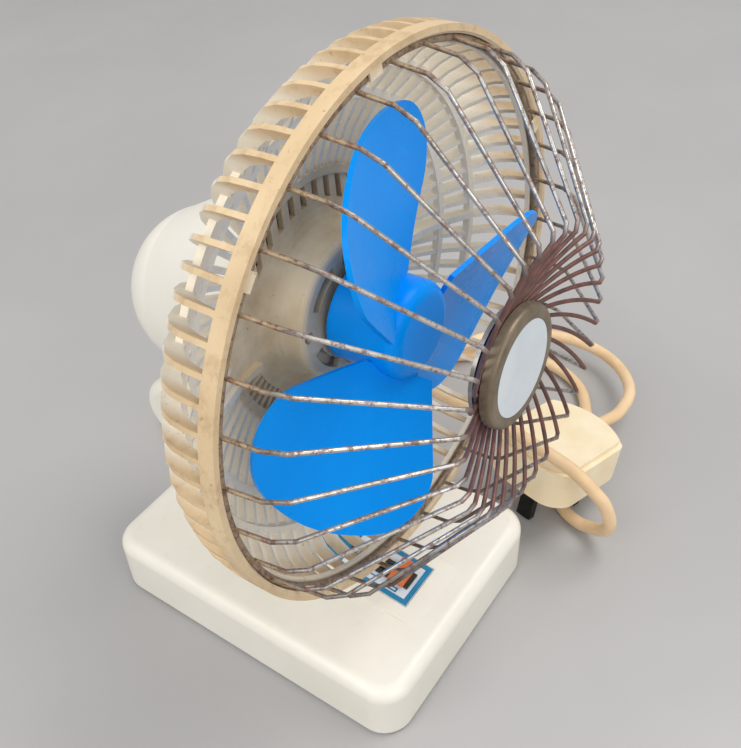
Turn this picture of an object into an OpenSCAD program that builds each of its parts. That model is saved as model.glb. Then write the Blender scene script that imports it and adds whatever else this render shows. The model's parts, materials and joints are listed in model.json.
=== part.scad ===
// Small desk fan: hollow base with a slide switch, tilting head, moulded rear basket,
// wire front guard, three-blade wheel on a shaded-pole motor, mains lead with a three-pin plug.
// Millimetres, +Z up, the fan blows toward -Y. The origin is on the table
// under the middle of the whole fan, the lead left aside.

/* [Base] */
// width of the base, side to side
base_w = 117; // [110:1:124]
// depth of the base, front to back
base_d = 156; // [151:1:162]
// height of the base top above the table
base_h = 30; // [29:0.5:32]
// radius of the base corners seen from above
base_corner_r = 13; // [11:1:16]
// radius of the rounded top edge
base_edge_r = 6; // [5:0.5:7]
// wall thickness of the base shell
base_wall = 2.4; // [2:0.2:2.8]
// diameter of each rubber foot
foot_d = 12; // [10:1:14]
// height the rubber feet stand out below the shell
foot_h = 1.6; // [1.4:0.1:2]

/* [Console] */
// width of the raised console
console_w = 36; // [33:1:40]
// length of the raised console, front to back
console_l = 66; // [64:1:70]
// rise of the console at its rear end
console_rise = 5; // [4:0.5:6]
// sideways position of the console centre
console_x = -5; // [-8:1:0]
// width of the marked plate
label_w = 23; // [21:1:26]
// length of the marked plate
label_l = 53; // [51:1:55]

/* [Switch] */
// travel of the slide switch from off to the last speed
switch_travel = 20; // [16:1:22]
// width of the slide knob
knob_w = 11; // [9:0.5:12]
// length of the slide knob along its travel
knob_l = 8; // [7:0.5:9]
// height of the slide knob above the bezel
knob_h = 5; // [4:0.5:7]

/* [Neck] */
// width of the pivot barrel
barrel_w = 44; // [40:1:47]
// radius of the pivot barrel
barrel_r = 16.5; // [15.5:0.5:17]
// distance of the tilt pivot ahead of the rear edge of the base
pivot_in = 19; // [18:0.5:21]
// height of the tilt pivot
pivot_z = 87; // [85:1:89]
// diameter of the tilt bolt
bolt_d = 8; // [7:0.5:9]

/* [Head] */
// distance of the rim front plane ahead of the tilt pivot
head_reach = 109; // [107:1:111]
// height of the rim centre above the tilt pivot
head_rise = 82; // [80:1:85]
// upward lean of the head as it stands
head_lean = 3; // [2:0.5:4]

/* [Rear basket] */
// outer radius of the rim
rim_r = 100; // [98:0.5:102]
// depth of the rim band
rim_band = 5.6; // [5:0.2:7]
// number of ribs
rib_count = 72; // [60:4:76]
// thickness of each rib
rib_t = 1.8; // [1.4:0.1:2.2]
// distance of the shoulder ring inside the edge of the rim
ring_a_in = 15; // [13:0.5:16]
// distance of the inner ring inside the edge of the rim
ring_b_in = 26.5; // [24:0.5:30]
// radius of the solid centre plate
plate_r = 48; // [47.5:0.5:49]
// number of vent slots in the centre plate
vent_count = 9; // [5:2:9]
// width of each vent slot
vent_w = 3; // [2:0.2:3.6]

/* [Front guard] */
// number of wires
wire_count = 34; // [30:2:38]
// diameter of each wire
wire_d = 1.5; // [1.4:0.1:2]
// radius of the sharp bend in front
bend_r = 48.3; // [46:0.1:51]
// distance of the sharp bend ahead of the rim
bend_z = 48.5; // [47:0.5:51]
// turn of each wire between the rim and the sharp bend, degrees
wire_lean = 2; // [0:1:8]
// turn of each wire between the sharp bend and the badge, degrees
wire_swirl = 30; // [24:1:36]
// outer radius of the badge
badge_r = 21.7; // [21.5:0.1:23]
// radius of the pale disc in the badge
disc_r = 17; // [15.5:0.5:17.5]

/* [Blade wheel] */
// radius swept by the blades
sweep_r = 76; // [73:0.5:80]
// pitch of the blades, degrees
blade_pitch = 19; // [16:1:22]
// thickness of the blades
blade_t = 1.8; // [1.4:0.1:2.4]
// radius of the hub
hub_r = 18; // [17:0.5:19]
// turn of the wheel as it stands, degrees
wheel_turn = 107; // [95:1:120]

/* [Motor] */
// diameter of the shaft
shaft_d = 5; // [4.5:0.1:6]
// radial running clearance of the shaft in its bearings
shaft_fit = 0.05; // [0.03:0.01:0.08]
// outer radius of the stator stack
stator_r = 27; // [26:0.5:27.5]
// radius of the rotor
rotor_r = 12.6; // [11.5:0.1:13]
// air gap between rotor and stator
air_gap = 0.4; // [0.35:0.05:0.6]
// wall thickness of the motor cover
cover_wall = 2; // [1.6:0.1:2.2]

/* [Mains lead] */
// diameter of the mains lead
cord_d = 6.2; // [5.8:0.1:6.6]
// width of the plug
plug_w = 46; // [44:1:48]
// length of the plug
plug_l = 56; // [55:1:58]
// height of the plug body
plug_h = 22; // [21:0.5:23]

/* [Fits] */
// gap between pieces that do not touch
gap = 0.3; // [0.25:0.05:0.4]
// gap between pieces stacked on each other
seat = 0.06; // [0.04:0.01:0.1]

/* [Hidden] */
$fn = 48;
cream = [0.93, 0.89, 0.78];
ivory = [0.96, 0.94, 0.88];
aged = [0.86, 0.77, 0.60];
steel = [0.62, 0.60, 0.58];
dark = [0.14, 0.13, 0.13];
copper = [0.72, 0.40, 0.18];
azure = [0.08, 0.48, 0.90];
orange = [0.86, 0.42, 0.18];
beige = [0.93, 0.74, 0.50];
brass = [0.75, 0.62, 0.32];

shell_bottom = foot_h;
ceiling = base_h - base_wall;
plate_t = 2;
plate_lift = 0.4;
plate_bottom = shell_bottom + plate_lift;
plate_top = plate_bottom + plate_t;
boss_r = 4.2;
boss_x = base_w / 2 - 15;
boss_y = base_d / 2 - 13;
foot_x = boss_x - 11;
foot_y = boss_y - 5;
pilot_d = 3.1;
shank_d = 3;
clear_d = 3.6;

console_y0 = 12 - base_d / 2;
console_back = 6;
console_slope = atan(console_rise / (console_l - console_back));
console_root = 0.4;
label_t = 0.9;
label_y0 = 9;
slot_w = 4.4;
slot_y0 = 16;
stem_l = 5;
slot_l = switch_travel + stem_l + 2 * gap;
bezel_t = 1.2;
bezel_w = 2;
bezel_end = 3;
switch_top = -8;
switch_deep = 13;
switch_side = 8;
stem_deep = 12;
finger_r = 9;
finger_off = 7.6;

pivot_y = base_d / 2 - pivot_in;
head_y = head_reach - pivot_y;
head_z = pivot_z + head_rise;
fork_gap = 13.2;
tongue_w = 10.4;
pivot_local_y = head_reach * sin(head_lean) - head_rise * cos(head_lean);
pivot_local_z = -head_reach * cos(head_lean) - head_rise * sin(head_lean);
knuckle_r = barrel_r - 3;
fork_deep = knuckle_r + 1.6;
barrel_edge = 5.5;
post_w = barrel_w - 10;
post_d = 2 * barrel_r - 2;
post_corner = 9;
flange_t = 4;
neck_screw_x = 11;
neck_screw_y = 10;
wire_way_r = 4.6;
bolt_fit = 0.1;
bolt_head_d = bolt_d + 6;
bolt_head_h = 4;
bolt_sunk = 5;
nut_d = bolt_d + 6.6;
nut_h = 5;
washer_d = bolt_d + 14;
washer_t = 0.8;

rim_t = 3;
ledge_t = 1.7;
ledge_in = 6.4;
hoop_d = 2.6;
hoop_r = rim_r - rim_t - hoop_d / 2 - gap / 3;
hoop_z = -rim_band + ledge_t + gap + hoop_d / 2;
clip_l = 6;
clip_t = 0.7;
clip_in = 2.2;
rib_turn = 4.2;
ring_a_r = rim_r - ring_a_in;
ring_b_r = rim_r - ring_b_in;
ring_w = 3.2;
ring_t = 2.8;
basket_deep = 41;
plate_z = -basket_deep;
sheet = 2.4;
lip_w = 3;
lip_h = 0.8;
plate_skirt = 5;
boss_front = -26;
dome_r = 27;
dome_edge = 2.5;
cove_r = 9;
cove_end = dome_r + cove_r;
eye_hole_r = 9;
hole_ring_r = 23.5;
bolt_ring_r = 20.5;
arc_slot_r = 18.5;
arc_slot_w = 4;
vent_pitch = 6.5;
vent_low = 5;
bar_y = -7;
bar_w = 3;
bar_h = 2.2;
window_x = 26;
cover_screw_r = 40;
cover_screw_turns = [238, 302];
bracket_x = 10;
bracket_y = -37;

wire_phase = 5.7;
clip_slots = [1, 8, 12, 20, 27];
bend_swell = 1.03;
bend1_r = rim_r - 6.6;
bend1_z = 15;
bend1_l = 4;
bend2_l = 2;
wire_bow = 0.07;
eye_r = badge_r - 2.5;
eye_z = 36.6;
badge_rear = eye_z + wire_d / 2 + 1.25;
badge_deep = 4.2;
badge_front = badge_rear + badge_deep;
badge_edge = 2;
disc_t = 0.9;
badge_post_r = 5;
back_t = 1.5;
back_front = eye_z - wire_d / 2 - 0.7;
hub_front = 5;
hub_back = -23;
hub_edge = 5;
hub_wall = 2.4;
hub_core = 6;
blade_z = -2;
camber_r = 190;

stator_front = plate_z - 2;
stator_back = stator_front - 18;
coil_h = 6;
coil_r = 18.5;
coil_w = 6.2;
coil_turns = [40, 130, 220, 310];
bolt_turns = [85, 265];
bracket_t = 1.6;
bracket_r = bolt_ring_r + 3.2;
bearing_r = 5;
bearing_h = 6.4;
cup_r = 7;
cup_h = 2.5;
rear_gap = 12;
front_bracket_z = boss_front - sheet - seat - bracket_t;
rear_bracket_z = stator_back - rear_gap;
shaft_back = rear_bracket_z - 4;

droop = 15;
taper = 14;
cover_len = 54;
cover_r = 33;
cover_rise = 6;
cover_front = plate_z - plate_skirt - gap;
cover_boss_r = 3.4;
arm_front = -72;
arm_back = -93;
arm_y = -36;
arm_t = 3;
arm_w = 20;
pad_w = 28;
pad_h = 8;
pad_t = 3.2;

plug_x = 94;
plug_y = -69.3;
plug_turn = -12;
plug_split = 0.55;
plug_corner = 13;
plug_wall = 2.4;
nose_back = 6;
pin_short = 17.7;
pin_long = 22.7;
pin_pitch = 22.2;
pin_back = -15;
pin_front = pin_back + pin_pitch;
pin_side = 11.1;
pin_t = 4;
pin_w = 6.2;
earth_w = 8;
pin_root = 9;
pin_lift = pin_short + 2.3;
plug_lean = atan((pin_long - pin_short) / pin_pitch);
cord_r = cord_d / 2;
exit_x = base_w / 2 - 30.5;
exit_z = 13;
grip_len = 24;
grip_neck = cord_d + 3;
grip_collar = cord_d + 7;
block_w = 30;
block_d = 16;
block_h = 11;
block_y = base_d / 2 - 42;

// the whole fan is moved along y so that the origin lies under its middle
function wire_turn(i) = wire_phase + i * 360 / wire_count;
front_reach = head_y + (bend_z + wire_d / 2) * cos(head_lean) + bend_r * sin(head_lean);
shift_y = (front_reach - base_d / 2) / 2;

// the piece to draw, or all of them

// moves its children from the middle of the base to the origin used for the whole fan
module placed() {
    translate([0, shift_y, 0])
        children();
}

// places its children in the head: x to the side, y up, z forward from the rim front plane
module in_head() {
    translate([0, -head_y, head_z])
        rotate([-head_lean, 0, 0])
            rotate([90, 0, 0])
                children();
}

// round bar from p to q
module rod(p, q, d) {
    v = q - p;
    l = norm(v);
    translate(p)
        rotate([0, acos(v[2] / l), atan2(v[1], v[0])])
            cylinder(h = l, d = d);
}

// flat ring between two radii
module ring(r_out, r_in, z0, z1) {
    translate([0, 0, z0])
        difference() {
            cylinder(h = z1 - z0, r = r_out);
            translate([0, 0, -1])
                cylinder(h = z1 - z0 + 2, r = r_in);
        }
}

// screw with a pan head at z = 0 and its shank going down
module screw(head_r, head_h, shank_d, shank_l) {
    cylinder(h = head_h, r = head_r);
    translate([0, 0, -shank_l])
        cylinder(h = shank_l + head_h / 2, d = shank_d);
}

// section of a slab wall: r wide and h tall with the outer top corner rounded
module edge_section(r, h, e) {
    square([r - e, h]);
    square([r, h - e]);
    translate([r - e, h - e])
        circle(r = e);
}

// block with rounded corners and a rounded top edge
module slab(w, d, h, r, e) {
    for (sx = [-1, 1], sy = [-1, 1])
        translate([sx * (w / 2 - r), sy * (d / 2 - r), 0])
            rotate_extrude()
                edge_section(r, h, e);
    for (turn = [0, 180])
        rotate([0, 0, turn])
            translate([w / 2 - r, 0, 0])
                rotate([90, 0, 0])
                    linear_extrude(d - 2 * r, center = true)
                        edge_section(r, h, e);
    for (turn = [90, 270])
        rotate([0, 0, turn])
            translate([d / 2 - r, 0, 0])
                rotate([90, 0, 0])
                    linear_extrude(w - 2 * r, center = true)
                        edge_section(r, h, e);
    translate([-(w / 2 - r), -(d / 2 - r), 0])
        cube([w - 2 * r, d - 2 * r, h]);
}

// rectangle with round corners
module round_rect(w, d, r) {
    square([w - 2 * r, d], center = true);
    square([w, d - 2 * r], center = true);
    for (sx = [-1, 1], sy = [-1, 1])
        translate([sx * (w / 2 - r), sy * (d / 2 - r)])
            circle(r = r);
}

// frame lying on the sloped console top, y running back along the slope
module on_console() {
    translate([console_x, console_y0, base_h])
        rotate([console_slope, 0, 0])
            children();
}

// solid wedge of the console
module console_block() {
    translate([console_x, 0, 0])
        rotate([90, 0, 90])
            linear_extrude(console_w, center = true)
                polygon([[console_y0, base_h - console_root], [console_y0, base_h],
                         [console_y0 + console_l - console_back, base_h + console_rise],
                         [console_y0 + console_l, base_h - console_root]]);
}

module base_shell() {
    color(ivory)
    placed()
        difference() {
            union() {
                difference() {
                    union() {
                        translate([0, 0, shell_bottom])
                            slab(base_w, base_d, base_h - shell_bottom, base_corner_r, base_edge_r);
                        console_block();
                    }
                    translate([0, 0, shell_bottom - 1])
                        slab(base_w - 2 * base_wall, base_d - 2 * base_wall,
                             ceiling - shell_bottom + 1,
                             base_corner_r - base_wall, base_edge_r - base_wall);
                }
                for (sx = [-1, 1], sy = [-1, 1])
                    translate([sx * boss_x, sy * boss_y, plate_top + seat])
                        cylinder(h = ceiling - plate_top + base_wall / 2, r = boss_r);
            }
            for (sx = [-1, 1], sy = [-1, 1])
                translate([sx * boss_x, sy * boss_y, 0])
                    cylinder(h = 0.6 * base_h, d = pilot_d);
            on_console()
                translate([-label_w / 2 - gap, label_y0 - gap, -label_t])
                    cube([label_w + 2 * gap, label_l + 2 * gap, 10 * label_t]);
            on_console()
                translate([-slot_w / 2, slot_y0, -base_h / 2])
                    cube([slot_w, slot_l, base_h]);
            for (sx = [-1, 1], sy = [-1, 1])
                translate([sx * neck_screw_x, pivot_y + sy * neck_screw_y, ceiling - base_wall])
                    cylinder(h = 4 * base_wall, d = clear_d);
            translate([0, pivot_y, ceiling - base_wall])
                cylinder(h = 4 * base_wall, r = wire_way_r + gap);
            translate([exit_x, base_d / 2 - 2 * base_wall, exit_z])
                rotate([-90, 0, 0])
                    cylinder(h = 4 * base_wall, d = grip_neck + 2 * seat);
        }
}

module base_plate() {
    color(dark)
    placed()
        difference() {
            translate([0, 0, plate_bottom])
                linear_extrude(plate_t)
                    round_rect(base_w - 2 * base_wall - 2 * gap, base_d - 2 * base_wall - 2 * gap,
                               base_corner_r - base_wall - gap);
            for (sx = [-1, 1], sy = [-1, 1])
                translate([sx * boss_x, sy * boss_y, 0])
                    cylinder(h = 0.6 * base_h, d = clear_d);
        }
}

module base_feet() {
    color(dark)
    placed()
        for (sx = [-1, 1], sy = [-1, 1])
            translate([sx * foot_x, sy * foot_y, 0])
                cylinder(h = plate_bottom - seat, d = foot_d);
}

module base_screws() {
    color(steel)
    placed()
        for (sx = [-1, 1], sy = [-1, 1])
            translate([sx * boss_x, sy * boss_y, plate_bottom - seat])
                mirror([0, 0, 1])
                    screw(shank_d, 1.4, shank_d, 14);
}

module neck_post() {
    foot_z = base_h + seat;
    color(ivory)
    placed()
        difference() {
            union() {
                for (turn = [90, -90])
                    translate([0, pivot_y, pivot_z])
                        rotate([0, turn, 0])
                            rotate_extrude()
                                edge_section(barrel_r, barrel_w / 2, barrel_edge);
                translate([0, pivot_y, foot_z])
                    linear_extrude(pivot_z - foot_z)
                        round_rect(post_w, post_d, post_corner);
                translate([0, pivot_y, foot_z])
                    linear_extrude(flange_t)
                        round_rect(post_w + 6, post_d + 1, post_corner);
            }
            translate([-fork_gap / 2, pivot_y - 2 * barrel_r, pivot_z - fork_deep])
                cube([fork_gap, 4 * barrel_r, 4 * barrel_r]);
            translate([-barrel_w / 2 + 6, pivot_y, pivot_z])
                rotate([0, 90, 0])
                    cylinder(h = 2 * barrel_w, d = bolt_d + 2 * bolt_fit);
            translate([barrel_w / 2 - bolt_sunk, pivot_y, pivot_z])
                rotate([0, 90, 0])
                    cylinder(h = barrel_w, d = bolt_head_d + 2 * gap);
            translate([-fork_gap / 2 - nut_h - gap, pivot_y, pivot_z])
                rotate([0, 90, 0])
                    cylinder(h = nut_h + 2 * gap, d = nut_d + gap, $fn = 6);
            translate([0, pivot_y, foot_z - 1])
                cylinder(h = pivot_z - foot_z, r = wire_way_r);
            for (sx = [-1, 1], sy = [-1, 1])
                translate([sx * neck_screw_x, pivot_y + sy * neck_screw_y, foot_z - 1])
                    cylinder(h = 14, d = pilot_d);
        }
}

module neck_screws() {
    color(steel)
    placed()
        for (sx = [-1, 1], sy = [-1, 1])
            translate([sx * neck_screw_x, pivot_y + sy * neck_screw_y, ceiling - seat])
                mirror([0, 0, 1])
                    screw(shank_d, 1.8, shank_d, 12);
}

module control_plate() {
    color([0.80, 0.83, 0.90])
    placed()
        on_console()
            difference() {
                translate([-label_w / 2, label_y0, -label_t + seat])
                    cube([label_w, label_l, label_t]);
                translate([-slot_w / 2 - gap, slot_y0 - gap, -5])
                    cube([slot_w + 2 * gap, slot_l + 2 * gap, 10]);
            }
}

module switch_bezel() {
    color(dark)
    placed()
        on_console()
            difference() {
                translate([-slot_w / 2 - bezel_w, slot_y0 - bezel_end, 2 * seat])
                    cube([slot_w + 2 * bezel_w, slot_l + 2 * bezel_end, bezel_t]);
                translate([-slot_w / 2, slot_y0, -5])
                    cube([slot_w, slot_l, 10]);
            }
}

module switch_body() {
    color([0.30, 0.26, 0.22])
    placed()
        on_console()
            difference() {
                translate([-switch_side, slot_y0 - 5, switch_top - switch_deep])
                    cube([2 * switch_side, slot_l + 10, switch_deep]);
                translate([-slot_w / 2, slot_y0, switch_top - 7])
                    cube([slot_w, slot_l, 20]);
            }
}

module switch_knob() {
    top = 2 * seat + bezel_t + gap;
    stem_w = slot_w - 2 * gap;
    color(orange)
    placed()
        on_console()
            translate([0, slot_y0 + gap + stem_l / 2, 0]) {
                difference() {
                    translate([-knob_w / 2, -knob_l / 2, top])
                        cube([knob_w, knob_l, knob_h]);
                    for (side = [-1, 1])
                        translate([0, side * (knob_l / 2 + finger_off), top + knob_h + 1])
                            rotate([0, 90, 0])
                                cylinder(h = 4 * knob_w, r = finger_r, center = true);
                }
                translate([-stem_w / 2, -stem_l / 2, -stem_deep])
                    cube([stem_w, stem_l, stem_deep + top + 1]);
            }
}

module terminal_block() {
    color([0.85, 0.84, 0.80])
    placed()
        difference() {
            translate([exit_x - block_w / 2, block_y, plate_top + seat])
                cube([block_w, block_d, block_h]);
            for (k = [-1, 0, 1])
                translate([exit_x + k * block_w / 3, block_y - 1, plate_top + block_h / 2])
                    rotate([-90, 0, 0])
                        cylinder(h = block_d / 2 + 2, d = 4);
        }
}

// tapered rubber sleeve on the lead, with a grooved neck held in the wall of the base
module cord_grip() {
    back = base_d / 2;
    bore = cord_d + 2 * seat;
    color(beige)
    placed()
        translate([exit_x, back, exit_z])
            rotate([-90, 0, 0])
                difference() {
                    union() {
                        translate([0, 0, -base_wall - 3])
                            cylinder(h = 3 - seat, d = grip_collar);
                        translate([0, 0, -base_wall - 1])
                            cylinder(h = base_wall + 2, d = grip_neck);
                        translate([0, 0, seat])
                            cylinder(h = grip_len, d1 = grip_collar, d2 = cord_d + 1.8);
                    }
                    translate([0, 0, -20])
                        cylinder(h = 80, d = bore);
                }
}

// point given in the frame of the plug
function plug_spot(x, z) =
    let (u = x * cos(plug_lean) + (z + pin_lift) * sin(plug_lean),
         w = -x * sin(plug_lean) + (z + pin_lift) * cos(plug_lean))
    [plug_x + u * cos(plug_turn), plug_y + u * sin(plug_turn), w];

lie = cord_r + 0.3;
out_y = base_d / 2;
entry_z = plug_h * plug_split;

// route of the lead: out of the base, behind it to the right, under the plug between its pins,
// up and over the plug, one more loop and into the plug
cord_route = [[exit_x, out_y - 25.6, exit_z], [exit_x, out_y - 12, exit_z], [exit_x, out_y + 6, exit_z],
              [exit_x, out_y + 22, exit_z], [exit_x + 1, out_y + 36, 12],
              [exit_x + 8, out_y + 52, 8.5], [52, 144, 4.8],
              [76, 151, lie], [103, 147, lie], [126, 130, lie], [136, 105, lie], [137, 78, lie],
              [143, 52, lie], [157, 28, lie], [174, 5, lie], [183, -18, lie], [182, -36, lie],
              [174, -51, lie], [160, -61, lie], [142, -67, lie], [124, -70, lie], [109, -71, lie],
              [98.5, -74, lie], [91.4, -80.5, lie], [88, -89.5, 4.1], [85.6, -98, 6.6],
              [82.5, -104.6, 11.6], [79.2, -109, 19], [76.1, -110, 28.2], [73.8, -107.4, 37.4],
              [72.6, -101.4, 45], [73, -93, 50.2], [74.5, -83.5, 52.4], [78.5, -63, 52.6],
              [84.5, -40, 50.6], [92.5, -18, 42.5], [103, 1, 32], [118, 14, 22.5], [138, 19, 17],
              [159, 17, 15], [178, 8, 13.5], [192, -7, 12.5], [200, -27, 12], [200, -49, 12],
              [190, -67, 13.5], [173, -79, 16], plug_spot(plug_l / 2 + 25, entry_z),
              plug_spot(plug_l / 2 + 11, entry_z), plug_spot(plug_l / 2 - 2, entry_z)];

// point on the smooth curve through the route, t counted in route points
function at(p, t) =
    let (n = len(p), i = min(max(floor(t), 0), n - 2), f = t - i,
         a = p[max(i - 1, 0)], b = p[i], c = p[i + 1], d = p[min(i + 2, n - 1)])
    0.5 * (2 * b + (c - a) * f + (2 * a - 5 * b + 4 * c - d) * f * f
           + (3 * b - a - 3 * c + d) * f * f * f);

function unit(v) = v / norm(v);

// directions square to the route, carried along it without twist
function carry(tangents, i, side) =
    i >= len(tangents) ? [] :
    let (s = unit(side - tangents[i] * (side * tangents[i])))
    concat([s], carry(tangents, i + 1, s));

// tube with flat ends swept along the points
module tube(points, r, sides) {
    n = len(points);
    tangents = [for (i = [0:n - 1]) unit(points[min(i + 1, n - 1)] - points[max(i - 1, 0)])];
    normals = carry(tangents, 0, [0, 0, 1]);
    verts = [for (i = [0:n - 1], k = [0:sides - 1])
             points[i] + r * (cos(360 * k / sides) * normals[i]
                              + sin(360 * k / sides) * cross(tangents[i], normals[i]))];
    walls = [for (i = [0:n - 2], k = [0:sides - 1])
             [i * sides + k, (i + 1) * sides + k,
              (i + 1) * sides + (k + 1) % sides, i * sides + (k + 1) % sides]];
    caps = [[for (k = [0:sides - 1]) k], [for (k = [0:sides - 1]) n * sides - 1 - k]];
    polyhedron(verts, concat([for (w = walls) [w[0], w[1], w[2]]],
                             [for (w = walls) [w[0], w[2], w[3]]], caps));
}

cord_steps = 80;
cord_points = [for (i = [0:cord_steps]) at(cord_route, i * (len(cord_route) - 1) / cord_steps)];
cord_length = [for (i = 0, s = 0; i <= cord_steps;
                    s = s + (i < cord_steps ? norm(cord_points[i + 1] - cord_points[i]) : 0),
                    i = i + 1) s][cord_steps];
cord_apart = min([for (i = [0:cord_steps], j = [0:cord_steps])
                  if (abs(i - j) > 6) norm(cord_points[i] - cord_points[j]) - cord_d]);
echo(cord_length = cord_length, least_gap = cord_apart);

module mains_cord() {
    color(beige)
    placed()
        tube(cord_points, cord_r, 10);
}

// frame of the plug: x toward the lead, z up through the cover, origin on the pin face
module on_plug() {
    translate([plug_x, plug_y, 0])
        rotate([0, 0, plug_turn])
            rotate([0, plug_lean, 0])
                translate([0, 0, pin_lift])
                    children();
}

// outline of the plug seen from the cover: round at the end where the lead goes in
module plug_outline(inset) {
    intersection() {
        round_rect(plug_l - 2 * inset, plug_w - 2 * inset, plug_corner - inset);
        translate([-nose_back, 0])
            circle(r = plug_l / 2 + nose_back - inset);
    }
}

// way of the lead into the plug
module lead_way() {
    translate([plug_l / 2 - 8, 0, entry_z])
        rotate([0, 90, 0])
            cylinder(h = 20, d = cord_d + 2 * gap);
}

module plug_body() {
    color(cream)
    placed()
        on_plug()
            difference() {
                linear_extrude(entry_z)
                    plug_outline(0);
                translate([0, 0, 3])
                    linear_extrude(plug_h)
                        plug_outline(plug_wall);
                translate([pin_back - pin_t / 2 - gap, -earth_w / 2 - gap, -1])
                    cube([pin_t + 2 * gap, earth_w + 2 * gap, 6]);
                for (side = [-1, 1])
                    translate([pin_front - pin_t / 2 - gap, side * pin_side - pin_w / 2 - gap, -1])
                        cube([pin_t + 2 * gap, pin_w + 2 * gap, 6]);
                lead_way();
                translate([0, 0, -1])
                    cylinder(h = 10, d = 4);
            }
}

module plug_cover() {
    color(cream)
    placed()
        on_plug() {
            difference() {
                union() {
                    translate([0, 0, entry_z + seat])
                        linear_extrude(plug_h - 3 - entry_z)
                            plug_outline(0);
                    translate([0, 0, plug_h - 4])
                        linear_extrude(4)
                            plug_outline(2);
                }
                linear_extrude(plug_h - plug_wall)
                    plug_outline(4);
                lead_way();
            }
            difference() {
                translate([0, 0, 5])
                    cylinder(h = plug_h - 6, r = 3.6);
                translate([0, 0, 4])
                    cylinder(h = 9, d = shank_d);
            }
        }
}

module plug_pins() {
    color(dark)
    placed()
        on_plug() {
            translate([pin_back - pin_t / 2, -earth_w / 2, -pin_long])
                cube([pin_t, earth_w, pin_long + pin_root]);
            for (side = [-1, 1])
                translate([pin_front - pin_t / 2, side * pin_side - pin_w / 2, -pin_short])
                    cube([pin_t, pin_w, pin_short + pin_root]);
        }
}

module plug_screw() {
    color(brass)
    placed()
        on_plug()
            translate([0, 0, -seat])
                mirror([0, 0, 1])
                    screw(3.2, 2, 2.9, 11);
}

module tilt_bolt() {
    color(steel)
    placed()
        translate([0, pivot_y, pivot_z])
            rotate([0, 90, 0]) {
                translate([0, 0, -barrel_w / 2 + 7])
                    cylinder(h = barrel_w - 10, d = bolt_d);
                translate([0, 0, barrel_w / 2 - bolt_sunk + seat])
                    cylinder(h = bolt_head_h, d = bolt_head_d);
            }
}

module tilt_nut() {
    color(steel)
    placed()
        translate([-fork_gap / 2 - nut_h - gap / 2, pivot_y, pivot_z])
            rotate([0, 90, 0])
                difference() {
                    cylinder(h = nut_h, d = nut_d, $fn = 6);
                    translate([0, 0, -1])
                        cylinder(h = nut_h + 2, d = bolt_d + 2 * seat);
                }
}

module tilt_washers() {
    color(brass)
    placed()
        for (side = [-1, 1])
            translate([side * (tongue_w / 2 + fork_gap / 2) / 2, pivot_y, pivot_z])
                rotate([0, 90, 0])
                    difference() {
                        cylinder(h = washer_t, d = washer_d, center = true);
                        cylinder(h = 4, d = bolt_d + 4 * bolt_fit, center = true);
                    }
}

// plate standing in the middle plane of the head, its outline given forward and up
module middle_plate(w) {
    rotate([0, -90, 0])
        linear_extrude(w, center = true)
            children();
}

module tilt_bracket() {
    zp = pivot_local_z;
    yp = pivot_local_y;
    color(steel)
    placed()
        in_head()
            difference() {
                union() {
                    middle_plate(tongue_w)
                        union() {
                            translate([zp, yp])
                                circle(r = knuckle_r);
                            polygon([[arm_front, arm_y - arm_t / 3], [arm_back, arm_y - arm_t / 3],
                                     [zp - 9, yp + 6], [zp + 11, yp - 5]]);
                        }
                    translate([-arm_w / 2, arm_y - arm_t, arm_back - 1])
                        cube([arm_w, arm_t, plate_z - sheet - seat - arm_back + 1]);
                    translate([-pad_w / 2, bracket_y - pad_h / 2, plate_z - sheet - seat - pad_t])
                        cube([pad_w, pad_h, pad_t]);
                }
                translate([0, yp, zp])
                    rotate([0, 90, 0])
                        cylinder(h = 4 * tongue_w, d = bolt_d + bolt_fit, center = true);
                for (sx = [-1, 1])
                    translate([sx * bracket_x, bracket_y, plate_z - 20])
                        cylinder(h = 30, d = pilot_d);
            }
}

module bracket_screws() {
    color(steel)
    placed()
        in_head()
            for (sx = [-1, 1])
                translate([sx * bracket_x, bracket_y, plate_z + seat])
                    screw(2.6, 1.6, shank_d, 9);
}

// point of the basket's section: u runs from the centre plate out to the rim, w from the rim back
function basket(u, w) = let (r0 = plate_r - 1.5) [r0 + u * (rim_r - r0), -w * basket_deep];

rib_foot = (rim_band - 0.2) / basket_deep;
rib_inside = [basket(0, 0.99), basket(0.29, 0.9), basket(0.53, 0.78), basket(0.7, 0.634),
              basket(0.8, 0.54), basket(0.88, 0.427), basket(0.925, 0.293), basket(0.955, rib_foot)];
rib_outside = [basket(1, rib_foot), basket(1, 0.256), basket(0.987, 0.4), basket(0.944, 0.537),
               basket(0.83, 0.695), basket(0.626, 0.878), basket(0.327, 1.05), basket(0, 1.12)];

// height of the inner edge of a rib at the radius r
function rib_height(r) = lookup(r, rib_inside);

// ring that ties the ribs, just below their inner edges
module tie_ring(r) {
    ring(r + ring_w / 2, r - ring_w / 2, rib_height(r) - ring_t, rib_height(r) + 0.1);
}

// dished centre plate with a raised middle and a lip round its edge
module centre_plate() {
    inner = plate_z - sheet;
    cove = [cove_end, plate_z + cove_r];
    rotate_extrude()
        polygon(concat([[eye_hole_r, boss_front]],
                       arc([dome_r - dome_edge, boss_front - dome_edge], dome_edge, 90, 0, 4),
                       arc(cove, cove_r, 180, 270, 6),
                       [[plate_r - lip_w, plate_z], [plate_r - lip_w, plate_z + lip_h],
                        [plate_r, plate_z + lip_h], [plate_r, plate_z - plate_skirt],
                        [plate_r - sheet, plate_z - plate_skirt], [plate_r - sheet, inner]],
                       arc(cove, cove_r + sheet, 270, 180, 6),
                       [[dome_r - sheet, boss_front - sheet], [eye_hole_r, boss_front - sheet]]));
}

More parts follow.
